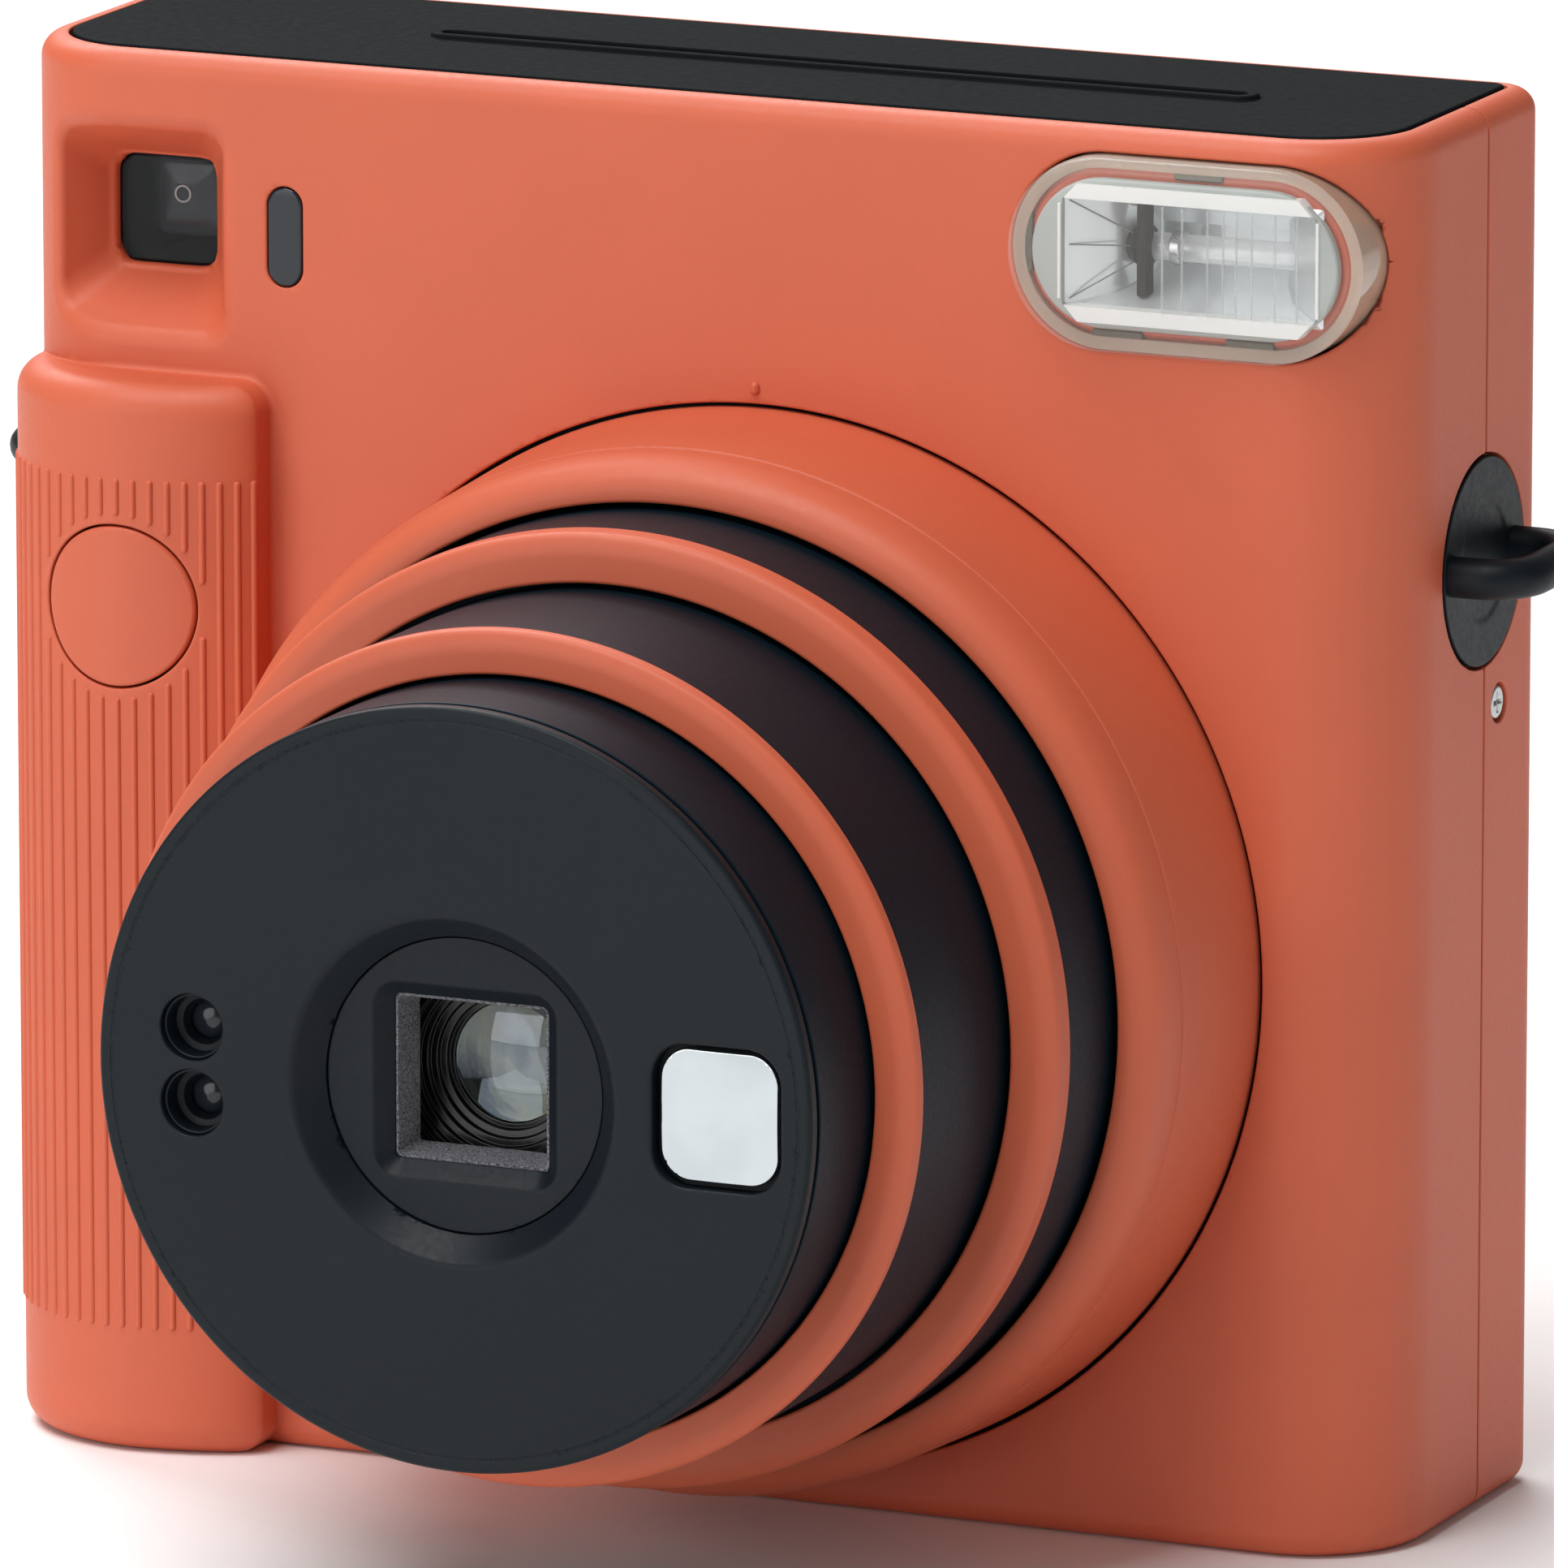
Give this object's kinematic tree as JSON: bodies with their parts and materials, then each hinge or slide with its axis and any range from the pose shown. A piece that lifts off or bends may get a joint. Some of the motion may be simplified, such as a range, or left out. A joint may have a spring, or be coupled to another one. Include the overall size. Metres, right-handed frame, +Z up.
{
  "type": "instant camera",
  "caption": "Boxy instant film camera with a side grip, corner flash and a telescoping lens that a ring dial extends and retracts.",
  "frame": {"origin": "centre of the base, on the surface that the camera stands on", "axes": "+Z up; -Y is the way the lens points; +X is to the right as seen from the front, so the grip is at -X"},
  "size_m": [0.1448, 0.1004, 0.1228],
  "materials": {
    "orange_shell": "fine moulded satin texture",
    "black_panel": "fine matte texture",
    "black_inner": "matte",
    "barrel_black": "satin",
    "clear_plastic": "clear and polished",
    "tinted_window": "dark and polished",
    "lens_glass": "coated",
    "mirror_face": "polished",
    "reflector_metal": "bright",
    "cell_jacket": "satin",
    "steel": "satin",
    "brass": "satin",
    "white_plastic": "satin",
    "flash_frame_grey": "fine texture",
    "board_green": "lacquered"
  },
  "bodies": {
    "body": {"front_cover": "orange_shell", "back_cover": "orange_shell", "top_plate": "black_panel", "chassis": "black_inner", "dark_chamber": "black_inner", "lens_base": "black_inner", "viewfinder_window": "tinted_window", "viewfinder_tube": "black_inner", "viewfinder_eyepiece": "lens_glass", "light_sensor_window": "tinted_window", "flash_window": "clear_plastic", "flash_frame": "flash_frame_grey", "flash_reflector": "reflector_metal", "flash_tube": "lens_glass", "flash_capacitor": "black_inner", "circuit_board": "board_green", "battery_holder": "black_inner", "battery_lower": "cell_jacket", "battery_upper": "cell_jacket", "battery_contact_lower": "brass", "battery_contact_upper": "brass", "strap_lug_right": "black_panel", "strap_lug_left": "black_panel", "cover_screw_right": "steel", "cover_screw_left": "steel", "door_hinge_pin": "steel", "shutter_switch": "black_inner", "motor": "steel", "counter_window": "clear_plastic"},
    "cam_ring": {"cam_ring": "black_inner"},
    "dial": {"lens_dial": "orange_shell"},
    "outer_barrel": {"outer_barrel": "barrel_black", "outer_barrel_cap": "orange_shell"},
    "middle_barrel": {"middle_barrel": "barrel_black", "middle_barrel_cap": "orange_shell"},
    "focus_carrier": {"focus_carrier": "black_inner"},
    "front_barrel": {"front_barrel": "barrel_black", "front_disc": "black_panel", "lens_hood": "black_inner", "lens_cell": "black_inner", "front_lens": "lens_glass", "rear_lens": "lens_glass", "selfie_mirror": "mirror_face", "exposure_sensor_upper": "tinted_window", "exposure_sensor_lower": "tinted_window"},
    "upper_blade": {"shutter_blade_upper": "black_inner"},
    "lower_blade": {"shutter_blade_lower": "black_inner"},
    "shutter_button": {"shutter_button": "orange_shell"},
    "film_door": {"film_door": "orange_shell", "film_window": "tinted_window", "film_spring": "steel"},
    "door_latch": {"door_latch": "black_panel"},
    "battery_door": {"battery_door": "orange_shell"},
    "front_roller": {"front_roller": "steel"},
    "rear_roller": {"rear_roller": "steel"},
    "drive_gear": {"drive_gear": "white_plastic"},
    "motor_pinion": {"motor_pinion": "brass"},
    "film_claw": {"film_claw": "steel"},
    "counter_dial": {"counter_dial": "white_plastic"}
  },
  "joints": [
    {"name": "dial_turn", "type": "hinge", "parent": "body", "child": "cam_ring", "pos_m": [0.007, 0, 0.0497], "axis": [0, 1, 0], "range_deg": [-44, 0]},
    {"name": "selfie_turn", "type": "hinge", "parent": "cam_ring", "child": "dial", "pos_m": [0.007, 0, 0.0497], "axis": [0, 1, 0], "range_deg": [0, 44]},
    {"name": "outer_slide", "type": "slide", "parent": "body", "child": "outer_barrel", "axis": [0, 1, 0], "range_m": [0, 0.012]},
    {"name": "middle_slide", "type": "slide", "parent": "outer_barrel", "child": "middle_barrel", "axis": [0, 1, 0], "range_m": [0, 0.0187]},
    {"name": "front_slide", "type": "slide", "parent": "middle_barrel", "child": "focus_carrier", "axis": [0, 1, 0], "range_m": [0, 0.0119]},
    {"name": "selfie_slide", "type": "slide", "parent": "focus_carrier", "child": "front_barrel", "axis": [0, -1, 0], "range_m": [0, 0.008]},
    {"name": "upper_blade_swing", "type": "hinge", "parent": "front_barrel", "child": "upper_blade", "pos_m": [-0.0085, -0.0588, 0.0472], "axis": [0, -1, 0], "range_deg": [0, 35], "stiffness_Nm_per_rad": 0.002},
    {"name": "lower_blade_swing", "type": "hinge", "parent": "front_barrel", "child": "lower_blade", "pos_m": [0.0225, -0.058, 0.0522], "axis": [0, -1, 0], "range_deg": [0, 35]},
    {"name": "button_press", "type": "slide", "parent": "body", "child": "shutter_button", "axis": [0, 1, 0], "range_m": [0, 0.0012], "stiffness_N_per_m": 800},
    {"name": "film_door_swing", "type": "hinge", "parent": "body", "child": "film_door", "pos_m": [0.0596, 0.0188, 0.05], "axis": [0, 0, -1], "range_deg": [0, 105]},
    {"name": "latch_slide", "type": "slide", "parent": "body", "child": "door_latch", "axis": [0, 0, -1], "range_m": [0, 0.003], "stiffness_N_per_m": 300},
    {"name": "battery_door_swing", "type": "hinge", "parent": "body", "child": "battery_door", "pos_m": [-0.0635, 0.0024, 0.0365], "axis": [0, 0, -1], "range_deg": [0, 100]},
    {"name": "rear_roller_spin", "type": "hinge", "parent": "body", "child": "rear_roller", "pos_m": [0.007, 0.0048, 0.107], "axis": [1, 0, 0], "continuous": true},
    {"name": "front_roller_spin", "type": "hinge", "parent": "body", "child": "front_roller", "pos_m": [0.007, -0.0038, 0.107], "axis": [1, 0, 0], "continuous": true},
    {"name": "drive_gear_spin", "type": "hinge", "parent": "body", "child": "drive_gear", "pos_m": [-0.038, 0.0048, 0.09471], "axis": [1, 0, 0], "continuous": true},
    {"name": "pinion_spin", "type": "hinge", "parent": "body", "child": "motor_pinion", "pos_m": [-0.038, 0.0048, 0.08427], "axis": [1, 0, 0], "continuous": true},
    {"name": "claw_slide", "type": "slide", "parent": "body", "child": "film_claw", "axis": [0, 0, 1], "range_m": [0, 0.008], "stiffness_N_per_m": 50},
    {"name": "counter_turn", "type": "hinge", "parent": "body", "child": "counter_dial", "pos_m": [-0.051, 0.014, 0.022], "axis": [0, 1, 0], "range_deg": [0, 300]}
  ],
  "couplings": [
    {"joint": "outer_slide", "follows": "dial_turn", "m_per_rad": -0.015626},
    {"joint": "middle_slide", "follows": "dial_turn", "m_per_rad": -0.024351},
    {"joint": "front_slide", "follows": "dial_turn", "m_per_rad": -0.015496},
    {"joint": "selfie_slide", "follows": "selfie_turn", "m_per_rad": 0.010417},
    {"joint": "lower_blade_swing", "follows": "upper_blade_swing", "ratio": 1},
    {"joint": "front_roller_spin", "follows": "rear_roller_spin", "ratio": -1},
    {"joint": "drive_gear_spin", "follows": "rear_roller_spin", "ratio": -0.53846},
    {"joint": "pinion_spin", "follows": "rear_roller_spin", "ratio": 1.75}
  ]
}
